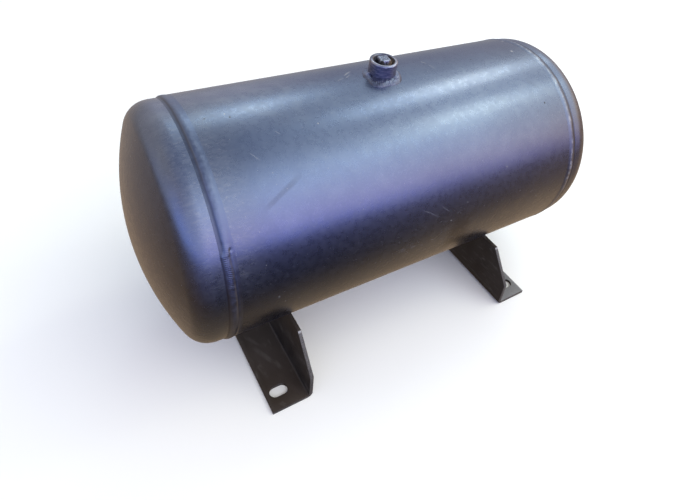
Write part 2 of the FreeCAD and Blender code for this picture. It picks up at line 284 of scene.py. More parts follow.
    def stroke(self, flat, start, end, width, waver):
        """1 along a wavering mark between two places on a flat surface, in metres."""
        run = Vector(end) - Vector(start)
        along = run.normalized()
        half = run.length / 2
        x, y, _ = self.axes(flat)
        drift = self.times(self.minus(self.noise(30 * MM, place=flat), 0.5), waver)
        from_x = self.minus(x, start[0])
        from_y = self.minus(self.plus(y, drift), start[1])
        forward = self.plus(self.times(from_x, along.x), self.times(from_y, along.y))
        across = self.plus(self.times(from_x, -along.y), self.times(from_y, along.x))
        past_end = self.minus(self.unsigned(self.minus(forward, half)), half)
        near = self.ramp(self.unsigned(across), width, width * MARK_CORE)
        return self.times(near, self.ramp(past_end, 0.0, -run.length * MARK_FADE))

    def done(self, colour, roughness, normal=None, metallic=0.0):
        """The material, with its shader's main inputs joined up."""
        self.link(colour, self.shader.inputs["Base Color"])
        self.link(roughness, self.shader.inputs["Roughness"])
        self.link(metallic, self.shader.inputs["Metallic"])
        if normal is not None:
            self.link(normal, self.shader.inputs["Normal"])
        return self.material


# The port boss was welded on leaning a little towards the front.
LEAN = math.radians(4)

# Colours of the bare coating and of what lies on it.
COATING = (0.152, 0.172, 0.235)
COATING_DARK = (0.134, 0.150, 0.208)
COATING_PALE = (0.190, 0.210, 0.262)
DUST = (0.31, 0.30, 0.29)
# Grime for the pits and lines, also used for the painted dark reflection on the front and the painted shade
# in the welds' grooves.
GRIME_SHADE_AND_DARK_REFLECTION = (0.052, 0.048, 0.052)
# The painted highlight along the welds' lip.
LIP_HIGHLIGHT = (0.36, 0.36, 0.37)

# Colours of the bosses and of their welds, the bare rim's painted light and painted shade, the painted shade
# in the mouths and at the welds' toes, and the brown crescent in the mouths.
BOSS_DARK = (0.150, 0.160, 0.240)
BOSS_PALE = (0.340, 0.340, 0.450)
# The bare rim: painted light at the front and painted shade at the back.
RIM_BARE_LIT = (0.33, 0.31, 0.35)
RIM_BARE_SHADED = (0.06, 0.06, 0.08)
BOSS_WELD_DARK = (0.110, 0.108, 0.160)
BOSS_WELD_TOE_SHADE = (0.085, 0.085, 0.120)
MOUTH_SHADE = (0.022, 0.020, 0.024)
MOUTH_BROWN_DARK = (0.05, 0.035, 0.025)
MOUTH_BROWN_PALE = (0.24, 0.17, 0.11)

# Colours of the plugs and of the rust on their threads.
PLUG_DARK = (0.13, 0.135, 0.17)
PLUG_PALE = (0.37, 0.38, 0.45)
RUST_DARK = (0.035, 0.024, 0.016)
RUST_PALE = (0.17, 0.115, 0.07)
RUST_SHADED = (0.016, 0.013, 0.012)

# Colours of the brackets' paint, and of its wear and grit, with painted light on the feet's tops and cut
# ends, a painted sheen on the right foot and a painted highlight on each ear's corner.
BRACKET_DARK = (0.016, 0.012, 0.009)
BRACKET_PALE = (0.030, 0.023, 0.017)
FOOT_LIT_DARK = (0.031, 0.022, 0.015)
FOOT_LIT_PALE = (0.056, 0.041, 0.030)
FOOT_LIT_UNDER_TANK = (0.095, 0.078, 0.062)
RIGHT_FOOT_SHEEN = (0.17, 0.165, 0.155)
RIGHT_FOOT_GRIT_AND_SHEEN = (0.26, 0.25, 0.235)
BRACKET_GRIT = (0.060, 0.052, 0.045)
BRACKET_SCUFF = (0.145, 0.130, 0.108)
CUT_EDGE_LIT = (0.22, 0.21, 0.195)
EAR_CORNER_HIGHLIGHT = (0.60, 0.58, 0.55)

FLOOR_DARK = (0.92, 0.89, 0.82)
FLOOR_PALE = (0.94, 0.91, 0.84)

# Marks on the shell, and in DARK_LINES one wide band of painted dark reflection low on the front:
# two ends as (millimetres along it from the middle, degrees round it), the width in millimetres and the
# strength.
DARK_LINES = (
    ((-217.5, 36), (-155, 48.5), 4.2, 0.28),
    ((200, 66), (223, 57), 4.0, 0.12),
    # Not a mark: a painted dark reflection low on the front.
    ((48, -26), (53, 8), 24.0, 0.50),
)
PALE_SCRATCHES = (
    ((-49, 95), (-31, 99), 1.1, 1.0),
    ((-49.5, 92.5), (-37.5, 95.5), 0.9, 0.8),
    ((-64, 91), (-50, 93), 0.9, 0.5),
    ((71.5, 96), (75.5, 91.5), 0.8, 0.8),
    ((75.5, 91.5), (79, 85.5), 0.8, 0.6),
    ((-170, 69), (-165, 66.5), 0.9, 0.4),
    ((-206, 62), (-196, 57), 0.7, 0.4),
    ((-20, 17), (15, 8), 0.8, 0.3),
    ((10, 16), (30, 9), 0.7, 0.3),
)
# Spots on the shell: where, as above, and the radius in millimetres.
DARK_PITS = (
    ((248, 37), 2.0),
    ((215, 50.5), 1.8),
    ((-207.5, 80.5), 1.6),
    ((-233, 82.5), 1.4),
    ((145, 88), 1.2),
)
PALE_SPOTS = (
    ((-119, 67.5), 1.3),
    ((-211, 83), 1.2),
    ((32, 4), 1.2),
    ((56, 12), 1.0),
    ((124, 24), 1.2),
    ((-206, -4), 1.2),
    ((246, 104), 3.0),
    ((-277.5, 117.5), 2.4),
    ((225.5, 88.5), 2.8),
)


def on_flat(along, degrees):
    """A place on the shell laid flat in metres, from millimetres along it and degrees round it."""
    return (along * MM, math.radians(degrees) * SHELL_R)


def coating_marks(finish, flat, spots, lines, waver):
    """1 in each spot of the shell, and a share of 1 along each line."""
    mask = finish.largest(0.0, *(finish.spot(flat, on_flat(*at), radius * MM) for at, radius in spots))
    for start, end, width, strength in lines:
        line = finish.stroke(flat, on_flat(*start), on_flat(*end), width * MM, waver)
        mask = finish.largest(mask, finish.times(line, strength))
    return mask


def dark_band_by_welds(finish):
    """A darker band beside each girth weld, fainter at the right end."""
    along = finish.axes(finish.place)[0]
    from_middle = finish.unsigned(along)
    return finish.times(
        finish.ramp(from_middle, 180 * MM, 240 * MM, 0.0, 0.20),
        finish.ramp(from_middle, WELD_HIGH.x, WELD_HIGH.x - 6 * MM),
        finish.ramp(along, -100 * MM, 100 * MM, 1.0, 0.4),
    )


def tank_dust(finish, flat, pale, blotches):
    """How thickly dust covers the coating: 0 is clean and 1 is all dust."""
    x, y, z = finish.axes(finish.place)
    smears = finish.noise(
        5 * MM, detail=5, roughness=0.7, place=flat, stretch=(0.4, 1.2, 1), distortion=1.8
    )
    patches = finish.ramp(finish.noise(70 * MM, detail=3), 0.5, 0.68)
    smeared = finish.times(finish.ramp(smears, 0.56, 0.72), patches)

    # Wisps near the middle of the front.
    flat_x, flat_y, _ = finish.axes(flat)
    near_middle = finish.times(
        finish.ramp(finish.unsigned(flat_x), 100 * MM, 30 * MM),
        finish.ramp(finish.unsigned(flat_y), 45 * MM, 12 * MM),
    )
    wisps = finish.times(finish.ramp(smears, 0.55, 0.68), near_middle)

    coarse = finish.specks(spacing=10 * MM, radius=0.7 * MM, share=0.35)
    fine = finish.specks(spacing=4 * MM, radius=0.4 * MM, share=0.20)

    # Dust settled on the top of the left half.
    settled = finish.times(
        finish.times(
            finish.ramp(z, AXIS_Z + 138 * MM, AXIS_Z + 149 * MM),
            finish.ramp(y, -20 * MM, 20 * MM, 0.6, 1.0),
        ),
        finish.ramp(x, -30 * MM, -190 * MM),
        finish.ramp(blotches, 0.3, 0.7, 0.12, 0.24),
    )

    # Scuffs from handling, on both sides of the left girth weld.
    from_left_weld = finish.unsigned(finish.plus(x, JOINT_X - 3 * MM))
    scuffed = finish.times(
        finish.ramp(from_left_weld, 48 * MM, 14 * MM),
        finish.ramp(z, AXIS_Z - 10 * MM, AXIS_Z + 60 * MM),
        finish.ramp(smears, 0.46, 0.68, 0.07, 0.26),
    )
    return finish.largest(
        finish.times(smeared, 0.12),
        finish.times(finish.largest(coarse, fine), 0.6),
        finish.times(pale, 0.8),
        finish.times(wisps, 0.22),
        settled,
        scuffed,
    )


def tank_coating():
    """Satin dark blue-grey metallic coating, grained, dusty and finely scratched, with a wide painted dark
    reflection low on the front.
    """
    finish = Finish("tank_coating")
    flat = finish.unrolled()
    clouds = finish.noise(120 * MM, detail=3)
    blotches = finish.noise(14 * MM, detail=4, roughness=0.6)
    grain = finish.noise(2.2 * MM, detail=3, roughness=0.6)
    colour = finish.mix(finish.ramp(clouds, 0.3, 0.7), COATING_DARK, COATING)
    colour = finish.mix(finish.ramp(blotches, 0.4, 0.75, 0.0, 0.35), colour, COATING_PALE)
    colour = finish.mix(finish.ramp(grain, 0.52, 0.75, 0.0, 0.5), colour, COATING_PALE)
    colour = finish.mix(finish.ramp(grain, 0.48, 0.28, 0.0, 0.3), colour, COATING_DARK)

    # Dark pits and lines, among them the wide band of painted dark reflection.
    dark = coating_marks(finish, flat, DARK_PITS, DARK_LINES, waver=8 * MM)
    colour = finish.mix(finish.largest(dark, dark_band_by_welds(finish)), colour, GRIME_SHADE_AND_DARK_REFLECTION)
    pale = coating_marks(finish, flat, PALE_SPOTS, PALE_SCRATCHES, waver=4 * MM)
    dust = tank_dust(finish, flat, pale, blotches)
    colour = finish.mix(dust, colour, DUST)
    metallic = finish.minus(1.0, dust)

    mottle = finish.noise(7 * MM, detail=3, roughness=0.6)
    roughness = finish.ramp(mottle, 0.35, 0.65, 0.265, 0.32)
    peel = finish.bump(grain, 0.020 * MM)
    dimples = finish.bump(finish.noise(5 * MM), 0.03 * MM, under=peel)
    waves = finish.bump(finish.noise(50 * MM, detail=1), 0.3 * MM, under=dimples)
    return finish.done(colour, roughness, waves, metallic)


def weld_coating():
    """The same coating on weld metal, with painted shade in its groove and a painted highlight along its lip.
    """
    finish = Finish("weld_coating")
    x, y, z = finish.axes(finish.place)
    soot = finish.noise(6 * MM, detail=4, roughness=0.65)
    colour = finish.mix(finish.ramp(soot, 0.35, 0.7), COATING_DARK, COATING)
    radius = finish.distance(y, finish.minus(z, AXIS_Z))
    # Painted shade in the sunk groove.
    groove = finish.ramp(radius, SHELL_R - 0.2 * MM, SHELL_R - 0.9 * MM, 0.0, 0.45)
    colour = finish.mix(groove, colour, GRIME_SHADE_AND_DARK_REFLECTION)

    # The lip carries a painted highlight, strongest on the upper part of the right weld.
    worn = finish.times(
        finish.ramp(radius, SHELL_R + 0.25 * MM, SHELL_R + 0.45 * MM),
        finish.ramp(soot, 0.42, 0.62, 0.15, 0.6),
        finish.ramp(z, AXIS_Z - 90 * MM, AXIS_Z + 30 * MM, 0.2, 1.0),
        finish.ramp(x, -100 * MM, 100 * MM, 0.12, 1.0),
    )
    colour = finish.mix(worn, colour, LIP_HIGHLIGHT)
    metallic = finish.minus(1.0, finish.times(worn, 0.6))
    roughness = finish.ramp(soot, 0.3, 0.7, 0.30, 0.42)
    normal = finish.bump(finish.noise(1.2 * MM), 0.06 * MM)
    return finish.done(colour, roughness, normal, metallic)


def towards_front_right(finish, x, y):
    """How far a place on a boss or plug lies towards the front right, where its rust shows."""
    return finish.minus(finish.times(x, 0.75), finish.times(y, 0.65))


def boss_coating():
    """Rough dark coating with turning marks, bare on the rim with painted light at the front and painted
    shade at the back, painted shade deep in the mouth and at the weld's toe, and a brown crescent in the
    mouth.
    """
    finish = Finish("boss_coating")
    x, y, z = finish.axes(finish.place)
    streaks = finish.noise(3 * MM, detail=4, roughness=0.6, stretch=(0.35, 0.35, 1.8))
    blots = finish.noise(3 * MM, detail=4, roughness=0.7)
    colour = finish.mix(finish.ramp(streaks, 0.4, 0.68), BOSS_DARK, BOSS_PALE)
    colour = finish.mix(finish.ramp(blots, 0.58, 0.75, 0.0, 0.7), colour, COATING_PALE)

    height = finish.unsigned(finish.minus(z, AXIS_Z))
    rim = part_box("port_boss")[1].z - AXIS_Z
    bare = finish.times(
        finish.ramp(height, rim - 2.2 * MM, rim - 1.0 * MM), finish.ramp(blots, 0.3, 0.5, 0.5, 1.0)
    )
    # The bare rim: painted light at the front and painted shade at the back.
    lit_front = finish.ramp(y, 10 * MM, -6 * MM, 0.25, 1.0)
    colour = finish.mix(bare, colour, finish.mix(lit_front, RIM_BARE_SHADED, RIM_BARE_LIT))
    weld = finish.ramp(height, SHELL_R + 4.5 * MM, SHELL_R + 2.0 * MM)
    weld_colour = finish.mix(finish.ramp(blots, 0.35, 0.65), BOSS_WELD_DARK, COATING_PALE)
    colour = finish.mix(finish.times(weld, 0.85), colour, weld_colour)

    # The distance from the boss's own middle line, which leans above the shell.
    above = finish.largest(finish.minus(z, AXIS_Z + SHELL_R), 0.0)
    y = finish.plus(y, finish.times(above, math.tan(LEAN)))
    radius = finish.distance(x, y)
    # Painted shade deep in the mouth of the bore.
    inside = finish.times(
        finish.ramp(radius, 14.9 * MM, 14.2 * MM), finish.ramp(height, rim - 0.4 * MM, rim - 1.2 * MM)
    )
    colour = finish.mix(finish.times(inside, 0.9), colour, MOUTH_SHADE)
    # Painted shade at the weld's outer toe.
    toe_shade = finish.times(weld, finish.ramp(radius, 22.5 * MM, 27.5 * MM, 0.0, 0.7))
    colour = finish.mix(toe_shade, colour, BOSS_WELD_TOE_SHADE)
    # A brown crescent in the mouth, at the front right only.
    mouth_brown = finish.times(
        finish.ramp(radius, 13.9 * MM, 13.2 * MM),
        finish.ramp(towards_front_right(finish, x, y), 4 * MM, 9 * MM),
    )
    mouth_brown_colour = finish.mix(finish.ramp(blots, 0.4, 0.6), MOUTH_BROWN_DARK, MOUTH_BROWN_PALE)
    colour = finish.mix(mouth_brown, colour, mouth_brown_colour)
    metallic = finish.minus(1.0, mouth_brown)
    roughness = finish.blend(bare, finish.ramp(streaks, 0.3, 0.7, 0.36, 0.5), 0.30)
    normal = finish.bump(streaks, 0.30 * MM, under=finish.bump(blots, 0.15 * MM))
    return finish.done(colour, roughness, normal, metallic)


def plug_steel():
    """Dull forged steel, mottled, with rust and dirt on the thread."""
    finish = Finish("plug_steel")
    x, y, _ = finish.axes(finish.place)
    blots = finish.noise(2.2 * MM, detail=4, roughness=0.7)
    colour = finish.mix(finish.ramp(blots, 0.4, 0.65), PLUG_DARK, PLUG_PALE)
    thread = finish.ramp(finish.distance(x, y), 8.8 * MM, 9.8 * MM)
    rust = finish.mix(finish.ramp(blots, 0.4, 0.6), RUST_DARK, RUST_PALE)
    seen = finish.ramp(towards_front_right(finish, x, y), 1 * MM, 8 * MM)
    colour = finish.mix(thread, colour, finish.mix(seen, RUST_SHADED, rust))
    metallic = finish.blend(thread, 1.0, 0.2)
    roughness = finish.blend(thread, finish.ramp(blots, 0.3, 0.7, 0.28, 0.42), 0.75)
    return finish.done(colour, roughness, finish.bump(blots, 0.2 * MM), metallic)


# Scuffs on the left foot's front half, as (x, y), and their width. All in millimetres.
FOOT_SCUFFS = (
    ((-211.5, -68), (-192, -112), 4.6),
    ((-213.5, -47.5), (-197, -80), 3.4),
    ((-193, -103), (-188, -122.5), 4.0),
    ((-210, -164), (-205, -174.5), 4.0),
)


def foot_scuffs(finish, strokes):
    """Long scuffs on the left foot, broken up by the strokes."""
    broken = finish.ramp(strokes, 0.35, 0.6, 0.3, 1.0)
    worn = 0.0
    for start, end, width in FOOT_SCUFFS:
        ends = [[number * MM for number in place] for place in (start, end)]
        scuff = finish.stroke(finish.place, *ends, width * MM, waver=12 * MM)
        worn = finish.largest(worn, finish.times(scuff, broken))
    return worn


def bracket_coating():
    """Matt brown-black paint on rolled plate, scuffed and gritty. The feet's tops and the cut edges are
    painted light, broken by grit; the right foot has a painted sheen and each ear's corner a painted
    highlight.
    """
    finish = Finish("bracket_coating")
    x, y, z = finish.axes(finish.place)
    _, normal_y, normal_z = finish.axes(
        finish.tree.nodes.new("ShaderNodeNewGeometry").outputs["True Normal"]
    )
    clouds = finish.noise(35 * MM, detail=4, roughness=0.6)
    grit = finish.noise(1.2 * MM, detail=3, roughness=0.7)
    colour = finish.mix(finish.ramp(clouds, 0.3, 0.7), BRACKET_DARK, BRACKET_PALE)

    # The feet's top faces, painted lighter than the webs as lit from above. The right one has a painted
    # sheen, and both have painted light near the middle, where the tank shades them.
    face_up = finish.ramp(normal_z, 0.5, 0.9)
    # The right foot's top carries a painted sheen.
    right_foot_sheen = finish.times(finish.ramp(x, 100 * MM, 150 * MM), finish.ramp(z, 12 * MM, 6 * MM))
    top = finish.mix(right_foot_sheen, finish.mix(clouds, FOOT_LIT_DARK, FOOT_LIT_PALE), RIGHT_FOOT_SHEEN)
    # Painted light near the middle of the feet, where the tank shades them.
    lit_under_tank = finish.ramp(finish.unsigned(y), 140 * MM, 70 * MM, 0.0, 0.45)
    top = finish.mix(lit_under_tank, top, FOOT_LIT_UNDER_TANK)
    colour = finish.mix(finish.times(face_up, 0.9), colour, top)
    colour = finish.mix(finish.ramp(grit, 0.5, 0.75, 0.0, 0.25), colour, BRACKET_GRIT)

    strokes = finish.noise(4 * MM, detail=5, roughness=0.65, stretch=(0.5, 0.18, 1), distortion=0.6)
    patches = finish.ramp(finish.noise(30 * MM, detail=3), 0.42, 0.60)
    rubbed = finish.times(finish.ramp(strokes, 0.50, 0.68), patches)
    worn = finish.largest(rubbed, foot_scuffs(finish, strokes))
    colour = finish.mix(finish.times(worn, 0.30), colour, BRACKET_SCUFF)
    # Pale flecks on the right foot's top: grit, in the painted sheen.
    grit_and_sheen = finish.times(right_foot_sheen, face_up, finish.ramp(grit, 0.4, 0.65, 0.0, 0.6))
    colour = finish.mix(grit_and_sheen, colour, RIGHT_FOOT_GRIT_AND_SHEEN)

    # The cut ends, which face the front and the back, painted pale as lit and paler towards the top, and the
    # painted highlight on each ear's corner.
    ear_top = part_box("left_bracket")[1].z
    end_face = finish.ramp(finish.unsigned(normal_y), 0.72, 0.82)
    # Painted light on the cut ends, broken by grit.
    cut = finish.times(
        end_face,
        finish.ramp(z, 20 * MM, 86 * MM, 0.25, 1.0),
        finish.ramp(grit, 0.38, 0.6, 0.25, 1.0),
    )
    colour = finish.mix(finish.times(cut, 0.9), colour, CUT_EDGE_LIT)
    # A painted highlight on each ear's corner.
    corner = finish.times(end_face, finish.ramp(z, ear_top - 3.5 * MM, ear_top - 1.3 * MM))
    colour = finish.mix(finish.times(corner, 0.8), colour, EAR_CORNER_HIGHLIGHT)
    roughness = finish.ramp(clouds, 0.3, 0.7, 0.48, 0.60)
    normal = finish.bump(grit, 0.05 * MM, under=finish.bump(finish.noise(6 * MM), 0.06 * MM))
    finish.shader.inputs["Specular IOR Level"].default_value = 0.22
    return finish.done(colour, roughness, normal)


def floor_paint():
    """Plain pale floor."""
    finish = Finish("floor_paint")
    colour = finish.mix(finish.noise(0.8), FLOOR_DARK, FLOOR_PALE)
    return finish.done(colour, roughness=0.9)


# The material of each of the record's slots.
MATERIALS = {
    "tank_coating": tank_coating(),
    "weld_coating": weld_coating(),
    "boss_coating": boss_coating(),
    "plug_steel": plug_steel(),
    "bracket_coating": bracket_coating(),
}


# ---------------------------------------------------------------- heads

CROWN_R = 322 * MM
KNUCKLE_R = 31 * MM
HEAD_WALL = 4 * MM
HEAD_STEPS = 360
KNUCKLE_STEPS = 24
# The crown's last ring lies half a step short of the pole, and a small flat face closes it.
CROWN_STEPS = 48


def head(side):
    """A pressed head: a straight flange, a knuckle and a dished crown, turned about the axis."""
    sign = -1 if side == "left" else 1
    low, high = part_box("right_head")
    centres_apart = CROWN_R - KNUCKLE_R
    knuckle_out = HEAD_R - KNUCKLE_R
    meeting = math.asin(knuckle_out / centres_apart)
    crown_x = high.x - CROWN_R
    knuckle_x = crown_x + centres_apart * math.cos(meeting)

    def profile(inset, flange_x):
        """Places from the flange's edge to the pole, as x and the distance from the axis."""
        line = [(flange_x, HEAD_R - inset)]
        reach = KNUCKLE_R - inset
        for k in range(KNUCKLE_STEPS + 1):
            turn = math.pi / 2 + (meeting - math.pi / 2) * k / KNUCKLE_STEPS
            line.append((knuckle_x + reach * math.cos(turn), knuckle_out + reach * math.sin(turn)))
        reach = CROWN_R - inset
        for k in range(1, CROWN_STEPS + 1):
            turn = meeting * (1 - k / (CROWN_STEPS + 0.5))
            line.append((crown_x + reach * math.cos(turn), reach * math.sin(turn)))
        return line

    outside = profile(0, WELD_HIGH.x)
    inside = profile(HEAD_WALL, low.x)
    rings = []
    for x, radius in outside[::-1] + inside:
        rings.append([on_tank(sign * x, radius, TURN * i / HEAD_STEPS) for i in range(HEAD_STEPS)])
    make_piece(f"{side}_head_pressed", rings, False, "tank_coating", f"{side}_head", 50)


# ---------------------------------------------------------------- welds on the tank

GIRTH_STEPS = 2200
RIPPLE_PITCH = 2.2 * MM

# A girth weld's face, from the shell's side to the head's: the distance from the joint's
# middle towards the shell, the rise above the shell's surface where the weld is sunk, and the
# rise where a second run has built it up. All in millimetres.
GIRTH_FACE = (
    (11.0, 0.02, 0.02),
    (9.6, 0.08, 0.14),
    (8.4, 0.18, 0.32),
    (7.4, 0.28, 0.40),
    (6.6, 0.35, 0.30),
    (6.0, 0.39, 0.04),
    (5.3, 0.42, 0.34),
    (4.4, 0.41, 0.64),
    (3.4, 0.35, 0.82),
    (2.6, 0.26, 0.88),
    (1.8, 0.12, 0.86),
    (1.1, -0.12, 0.80),
    (0.5, -0.48, 0.72),
    (-0.1, -0.94, 0.60),
    (-0.7, -1.32, 0.44),
    (-1.4, -1.53, 0.18),
    (-2.2, -1.60, -0.20),
    (-3.0, -1.64, -0.74),
    (-3.9, -1.68, -1.32),
    (-4.8, -1.72, -1.62),
    (-7.0, -1.80, -1.80),
)

# Where each girth weld is built up by a second run: from and to, in degrees round the tank.
BUILT_UP = {"left": (-62.0, 26.0), "right": (150.0, 205.0)}
# Lumps where a run starts or stops: angle in degrees, height in millimetres, length in degrees.
LUMPS = {
    "left": ((27.0, 0.9, 2.0), (-63.0, 0.6, 2.0)),
    "right": ((62.0, 0.5, 2.5), (79.0, 0.5, 2.0), (150.0, 0.7, 2.5)),
}
# The crater beside the left weld's upper lump: angle, distance across, depth and radius.
CRATER = (27.0, 6.6, 0.7, 1.3)
# The middle and the half width of the bead's crown, across the weld, in millimetres.
GIRTH_CROWN_AT, GIRTH_CROWN_HALF = 2.0, 8.5
# The root inside the shell and the head, as (across, depth) in millimetres.
GIRTH_ROOT = ((-7.0, 2.4), (-1.0, 6.5), (1.0, 5.0), (11.0, 0.6))


def crater_depth(degrees, across):
    """The depth of the left weld's crater at a place on the weld, in millimetres."""
    at, beside, depth, radius = CRATER
    arc = math.radians(degrees - at) * SHELL_R / MM
    return depth * bump_at(math.hypot(arc * 0.6, across - beside), 0, radius)


def girth_weld(side):
    """The bead between the shell and a head, with its ripples, lumps and built-up run."""
    sign = -1 if side == "left" else 1
    first, last = BUILT_UP[side]
    rings = []
    for i in range(GIRTH_STEPS):
        angle = TURN * i / GIRTH_STEPS
        degrees = math.degrees(angle)
        if degrees > last + (360 - last + first) / 2:
            degrees -= 360
        started = smooth_step(degrees, first - 1.5, first + 1.5)
        built = started * smooth_step(degrees, last + 1.5, last - 1.5)
        lump = sum(h * bump_at(degrees, at, length) for at, h, length in LUMPS[side])
        drift = 0.5 * rough(*on_tank(0, SHELL_R, angle), 0.02, 9)
        ring = []
        for across, sunk, proud in GIRTH_FACE:
            rise = sunk + (proud - sunk) * built
            from_crown = min(abs(across - GIRTH_CROWN_AT) / GIRTH_CROWN_HALF, 1)
            crown = math.cos(from_crown * math.pi / 2) ** 2
            phase = angle * SHELL_R / RIPPLE_PITCH + 0.03 * across * across
            rise += crown * (0.9 * lump + (0.04 + 0.06 * built) * math.cos(TURN * phase))
            point = on_tank(sign * (JOINT_X - across * MM), SHELL_R, angle)
            rise += crown * (0.26 * rough(*point, 0.014) + 0.10 * rough(*point, 0.004, 5))
            if side == "left":
                rise -= crater_depth(degrees, across)
            ring.append(on_tank(point[0] - sign * drift * MM * crown, SHELL_R + rise * MM, angle))
        for across, depth in GIRTH_ROOT:
            ring.append(on_tank(sign * (JOINT_X - across * MM), SHELL_R - depth * MM, angle))
        rings.append(ring)
    make_piece(f"{side}_girth_bead", rings, True, "weld_coating", f"{side}_girth_weld", 80)


# Half of the seam's cap, as (across, rise) in millimetres, from its edge to its middle.
SEAM_HALF = [(-4.3, -0.3), (-3.6, 0.15), (-2.6, 0.65), (-1.4, 1.0), (0, 1.12)]
SEAM_ROOT_HALF, SEAM_ROOT_DEPTH = 0.9, 3.9
STEPS_PER_RIPPLE = 5


def seam_weld():
    """The long cap over the shell's seam, at the back."""
    low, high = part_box("shell_seam_weld")
    middle = Vector((0, (low.y + high.y) / 2, (low.z + high.z) / 2))
    seam_angle = math.atan2(middle.z - AXIS_Z, -middle.y)
    reach = high.x
    face = SEAM_HALF + [(-across, rise) for across, rise in reversed(SEAM_HALF[:-1])]
    steps = int(2 * reach / (RIPPLE_PITCH / STEPS_PER_RIPPLE))
    rings = []
    for i in range(steps + 1):
        x = -reach + 2 * reach * i / steps
        drift = 0.5 * rough(x, 0, 0, 0.03, 4)
        ring = []
        for across, rise in face:
            crown = max(rise, 0)
            ripple = math.cos(TURN * (x / RIPPLE_PITCH + 0.05 * across * across))
            rise += crown * (0.10 * ripple + 0.25 * rough(x, across * MM, 0, 0.01, 3))
            angle = seam_angle + (across + drift) * MM / SHELL_R
            ring.append(on_tank(x, SHELL_R + rise * MM, angle))
        for across in (SEAM_ROOT_HALF, -SEAM_ROOT_HALF):
            angle = seam_angle + across * MM / SHELL_R
            ring.append(on_tank(x, SHELL_R - SEAM_ROOT_DEPTH * MM, angle))
        rings.append(ring)
    make_piece("shell_seam_bead", rings, False, "weld_coating", "shell_seam_weld", 80)


FILLET_STEPS = 420
FILLET_POINTS = 9
# How far the fillet's two legs are sunk into the web and the shell.
FILLET_SUNK = 0.4 * MM
# The length over which the fillet tapers off at each end.
FILLET_TAPER = 3 * MM


def bracket_weld(side, face):
    """The fillet bead along a bracket's round cut, on its inner or outer face."""
    node = f"{side}_bracket_{face}_weld"
    low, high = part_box(node)
    sign = 1 if (side == "left") == (face == "inner") else -1
    web_x = low.x if sign > 0 else high.x
    leg = high.x - low.x
    reach = math.asin(high.y / (SHELL_R + leg))
    rings = []
    for i in range(FILLET_STEPS + 1):
        share = 2 * i / FILLET_STEPS - 1
        angle = -math.pi / 2 + reach * share
        from_end = (1 - abs(share)) * reach * SHELL_R
        size = math.sqrt(min(from_end / FILLET_TAPER + 0.02, 1))
        size *= 1 + 0.16 * rough(0, share * 0.15, 0, 0.012, 7)
        ring = [on_tank(web_x - sign * FILLET_SUNK, SHELL_R - FILLET_SUNK, angle)]
        for j in range(FILLET_POINTS):
            t = j / (FILLET_POINTS - 1)
            ripple = math.cos(TURN * (angle * SHELL_R / RIPPLE_PITCH + 0.5 * t))
            bulge = math.sin(math.pi * t) * (0.14 + 0.04 * ripple)
            away = leg * size * (t + bulge * 0.7)
            out = leg * size * (1 - t + bulge * 0.7)
            if j == 0:
                away -= FILLET_SUNK
            if j == FILLET_POINTS - 1:
                out -= FILLET_SUNK
            grit = 0.12 * MM * rough(*on_tank(web_x + sign * away, SHELL_R + out, angle), 0.003, 2)
            ring.append(on_tank(web_x + sign * (away + grit), SHELL_R + out + grit, angle))
        rings.append(ring)
    make_piece(f"{side}_bracket_{face}_bead", rings, False, "bracket_coating", node, 80)


# ---------------------------------------------------------------- bosses and plugs


def upright(points, way):
    """Points given for the port at the top, turned upside down for the drain when way is -1."""
    return [(x, y, AXIS_Z + way * z) for x, y, z in points]


def leaned(ring, way):
    """Tips a ring of the port boss or its plug to the front about the shell's top."""
    if way < 0:
        return ring
    foot = Vector((0, 0, AXIS_Z + SHELL_R))
    tip = Matrix.Rotation(LEAN, 3, "X")
    return [tuple(foot + tip @ (Vector(point) - foot)) for point in ring]


BOSS_STEPS = 144
BOSS_WALL_STEPS = 24
RIM_STEPS = 10
# The rim's rounding, inwards from the wall and down from the top.
RIM_ROUND, RIM_FALL = 3.0 * MM, 1.9 * MM
# The gap between the plug's body and the boss's bore.
BORE_GAP = 0.15 * MM
THREAD_PITCH = 1.814 * MM
THREAD_DEPTH = 0.9 * MM
THREAD_RUN = 12 * MM
THREAD_STEPS = 64


def boss(name, way):
    """A turned boss with a rounded rim, worn turning marks and its pipe thread."""
    low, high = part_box("port_boss")
    outer = high.x
    rim = high.z - AXIS_Z
    root = low.z - AXIS_Z
    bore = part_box("port_plug")[1].x + BORE_GAP
    wall_top = rim - RIM_FALL

    # The outline round the section, as (radius, height). A threaded place has no radius.
    profile = [(bore, root), (outer, root)]
    for k in range(1, BOSS_WALL_STEPS + 1):
        profile.append((outer, root + (wall_top - root) * k / BOSS_WALL_STEPS))
    for k in range(1, RIM_STEPS + 1):
        turn = math.pi / 2 * k / RIM_STEPS
        profile.append((outer - RIM_ROUND * (1 - math.cos(turn)), wall_top + RIM_FALL * math.sin(turn)))
    profile += [(bore + 1.2 * MM, rim - 0.10 * MM), (bore + 0.9 * MM, rim - 0.40 * MM)]
    for k in range(THREAD_STEPS + 1):
        profile.append((None, rim - 0.9 * MM - THREAD_RUN * k / THREAD_STEPS))

    rings = []
    for radius, height in profile:
        ring = []
        for i in range(BOSS_STEPS):
            angle = TURN * i / BOSS_STEPS
            x, y = math.cos(angle) * outer, math.sin(angle) * outer
            if radius is None:
                turns = height / THREAD_PITCH + angle / TURN
                here = bore + THREAD_DEPTH * abs(2 * (turns % 1) - 1) - 0.1 * MM
            else:
                here = radius + 0.10 * MM * rough(x, y, height, 0.004, 3)
            worn = 0.12 * MM * rough(x, y, 0, 0.007, 6) if height > wall_top else 0
            ring.append((here * math.sin(angle), -here * math.cos(angle), height + worn))
        rings.append(leaned(upright(ring, way), way))
    make_piece(f"{name}_turned", rings, True, "boss_coating", name, 60)


